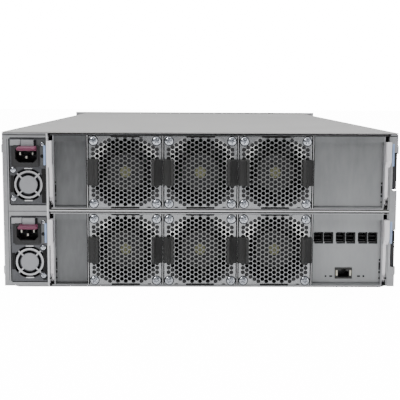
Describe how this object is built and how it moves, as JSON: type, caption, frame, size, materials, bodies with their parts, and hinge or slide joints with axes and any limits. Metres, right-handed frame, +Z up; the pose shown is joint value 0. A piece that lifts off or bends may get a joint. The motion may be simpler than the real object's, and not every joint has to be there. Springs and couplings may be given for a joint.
{
  "type": "disk shelf enclosure",
  "caption": "Four-unit rack disk shelf: sheet-steel chassis with slide-out canisters, fan modules, upright power supplies, ejector levers, sliding cover and a drive bay.",
  "frame": {"origin": "centre of the underside, where the base rests", "axes": "+X across, +Y from the service face to the front panel, +Z up"},
  "size_m": [0.4826, 0.8835, 0.177],
  "materials": {
    "black_plastic": "fine matt moulding",
    "board_green": "green solder mask",
    "cover_steel": "satin zinc-plated sheet steel",
    "drive_metal": "cast aluminium drive bodies",
    "front_paint": "satin black powder coat",
    "grey_plastic": "dark grey moulding",
    "lever_steel": "bright stamped steel",
    "slide_steel": "bright rolled steel",
    "tab_plastic": "maroon soft-touch plastic",
    "zinc_steel": "satin zinc-plated sheet steel"
  },
  "bodies": {
    "chassis": {"base_pan": "zinc_steel", "side_wall_left": "zinc_steel", "side_wall_right": "zinc_steel", "slide_members": "slide_steel", "supply_shelves": "zinc_steel", "bay_divider": "zinc_steel", "middle_shelf": "zinc_steel", "midplane": "board_green", "front_panel": "front_paint", "front_handles": "front_paint", "drive_cage": "zinc_steel", "socket_boards": "board_green", "disk_drives": "drive_metal"},
    "top_cover": {"top_cover": "cover_steel"},
    "canister_upper": {"canister_upper_tray": "zinc_steel", "canister_upper_cover": "zinc_steel", "canister_upper_panels": "zinc_steel", "canister_upper_board": "board_green"},
    "lever_upper_left": {"lever_upper_left": "lever_steel"},
    "lever_upper_right": {"lever_upper_right": "lever_steel"},
    "fan_1": {"fan_1_plate": "zinc_steel", "fan_1_frame": "black_plastic", "fan_1_pulls": "grey_plastic"},
    "fan_1_rotor": {"fan_1_rotor": "black_plastic"},
    "fan_2": {"fan_2_plate": "zinc_steel", "fan_2_frame": "black_plastic", "fan_2_pulls": "grey_plastic"},
    "fan_2_rotor": {"fan_2_rotor": "black_plastic"},
    "fan_3": {"fan_3_plate": "zinc_steel", "fan_3_frame": "black_plastic", "fan_3_pulls": "grey_plastic"},
    "fan_3_rotor": {"fan_3_rotor": "black_plastic"},
    "supply_upper": {"supply_upper_case": "zinc_steel", "supply_upper_inlet": "black_plastic"},
    "supply_upper_tab": {"supply_upper_tab": "tab_plastic"},
    "supply_upper_rotor": {"supply_upper_rotor": "black_plastic"},
    "canister_lower": {"canister_lower_tray": "zinc_steel", "canister_lower_cover": "zinc_steel", "canister_lower_panels": "zinc_steel", "canister_lower_board": "board_green", "expansion_ports": "black_plastic", "network_jack": "slide_steel"},
    "lever_lower_left": {"lever_lower_left": "lever_steel"},
    "lever_lower_right": {"lever_lower_right": "lever_steel"},
    "fan_4": {"fan_4_plate": "zinc_steel", "fan_4_frame": "black_plastic", "fan_4_pulls": "grey_plastic"},
    "fan_4_rotor": {"fan_4_rotor": "black_plastic"},
    "fan_5": {"fan_5_plate": "zinc_steel", "fan_5_frame": "black_plastic", "fan_5_pulls": "grey_plastic"},
    "fan_5_rotor": {"fan_5_rotor": "black_plastic"},
    "fan_6": {"fan_6_plate": "zinc_steel", "fan_6_frame": "black_plastic", "fan_6_pulls": "grey_plastic"},
    "fan_6_rotor": {"fan_6_rotor": "black_plastic"},
    "supply_lower": {"supply_lower_case": "zinc_steel", "supply_lower_inlet": "black_plastic"},
    "supply_lower_tab": {"supply_lower_tab": "tab_plastic"},
    "supply_lower_rotor": {"supply_lower_rotor": "black_plastic"}
  },
  "joints": [
    {"name": "cover_slide", "type": "slide", "parent": "chassis", "child": "top_cover", "axis": [0, -1, 0], "range_m": [0, 0.015]},
    {"name": "canister_upper_slide", "type": "slide", "parent": "chassis", "child": "canister_upper", "axis": [0, -1, 0], "range_m": [0, 0.255]},
    {"name": "lever_upper_left_hinge", "type": "hinge", "parent": "canister_upper", "child": "lever_upper_left", "pos_m": [-0.16665, -0.407, 0.09805], "axis": [1, 0, 0], "range_deg": [0, 70]},
    {"name": "lever_upper_right_hinge", "type": "hinge", "parent": "canister_upper", "child": "lever_upper_right", "pos_m": [0.20855, -0.407, 0.09805], "axis": [1, 0, 0], "range_deg": [0, 70]},
    {"name": "fan_1_slide", "type": "slide", "parent": "canister_upper", "child": "fan_1", "axis": [0, -1, 0], "range_m": [0, 0.045]},
    {"name": "fan_1_spin", "type": "hinge", "parent": "fan_1", "child": "fan_1_rotor", "pos_m": [-0.084, -0.41, 0.13025], "axis": [0, 1, 0], "continuous": true},
    {"name": "fan_2_slide", "type": "slide", "parent": "canister_upper", "child": "fan_2", "axis": [0, -1, 0], "range_m": [0, 0.045]},
    {"name": "fan_2_spin", "type": "hinge", "parent": "fan_2", "child": "fan_2_rotor", "pos_m": [0, -0.41, 0.13025], "axis": [0, 1, 0], "continuous": true},
    {"name": "fan_3_slide", "type": "slide", "parent": "canister_upper", "child": "fan_3", "axis": [0, -1, 0], "range_m": [0, 0.045]},
    {"name": "fan_3_spin", "type": "hinge", "parent": "fan_3", "child": "fan_3_rotor", "pos_m": [0.084, -0.41, 0.13025], "axis": [0, 1, 0], "continuous": true},
    {"name": "supply_upper_slide", "type": "slide", "parent": "chassis", "child": "supply_upper", "axis": [0, -1, 0], "range_m": [0, 0.25]},
    {"name": "supply_upper_tab_press", "type": "slide", "parent": "supply_upper", "child": "supply_upper_tab", "axis": [0, 0, -1], "range_m": [0, 0.002], "stiffness_N_per_m": 2000},
    {"name": "supply_upper_spin", "type": "hinge", "parent": "supply_upper", "child": "supply_upper_rotor", "pos_m": [-0.19205, -0.4108, 0.116], "axis": [0, 1, 0], "continuous": true},
    {"name": "canister_lower_slide", "type": "slide", "parent": "chassis", "child": "canister_lower", "axis": [0, -1, 0], "range_m": [0, 0.255]},
    {"name": "lever_lower_left_hinge", "type": "hinge", "parent": "canister_lower", "child": "lever_lower_left", "pos_m": [-0.16665, -0.407, 0.01055], "axis": [1, 0, 0], "range_deg": [0, 70]},
    {"name": "lever_lower_right_hinge", "type": "hinge", "parent": "canister_lower", "child": "lever_lower_right", "pos_m": [0.20855, -0.407, 0.01055], "axis": [1, 0, 0], "range_deg": [0, 70]},
    {"name": "fan_4_slide", "type": "slide", "parent": "canister_lower", "child": "fan_4", "axis": [0, -1, 0], "range_m": [0, 0.045]},
    {"name": "fan_4_spin", "type": "hinge", "parent": "fan_4", "child": "fan_4_rotor", "pos_m": [-0.084, -0.41, 0.04275], "axis": [0, 1, 0], "continuous": true},
    {"name": "fan_5_slide", "type": "slide", "parent": "canister_lower", "child": "fan_5", "axis": [0, -1, 0], "range_m": [0, 0.045]},
    {"name": "fan_5_spin", "type": "hinge", "parent": "fan_5", "child": "fan_5_rotor", "pos_m": [0, -0.41, 0.04275], "axis": [0, 1, 0], "continuous": true},
    {"name": "fan_6_slide", "type": "slide", "parent": "canister_lower", "child": "fan_6", "axis": [0, -1, 0], "range_m": [0, 0.045]},
    {"name": "fan_6_spin", "type": "hinge", "parent": "fan_6", "child": "fan_6_rotor", "pos_m": [0.084, -0.41, 0.04275], "axis": [0, 1, 0], "continuous": true},
    {"name": "supply_lower_slide", "type": "slide", "parent": "chassis", "child": "supply_lower", "axis": [0, -1, 0], "range_m": [0, 0.25]},
    {"name": "supply_lower_tab_press", "type": "slide", "parent": "supply_lower", "child": "supply_lower_tab", "axis": [0, 0, -1], "range_m": [0, 0.002], "stiffness_N_per_m": 2000},
    {"name": "supply_lower_spin", "type": "hinge", "parent": "supply_lower", "child": "supply_lower_rotor", "pos_m": [-0.19205, -0.4108, 0.0285], "axis": [0, 1, 0], "continuous": true}
  ]
}
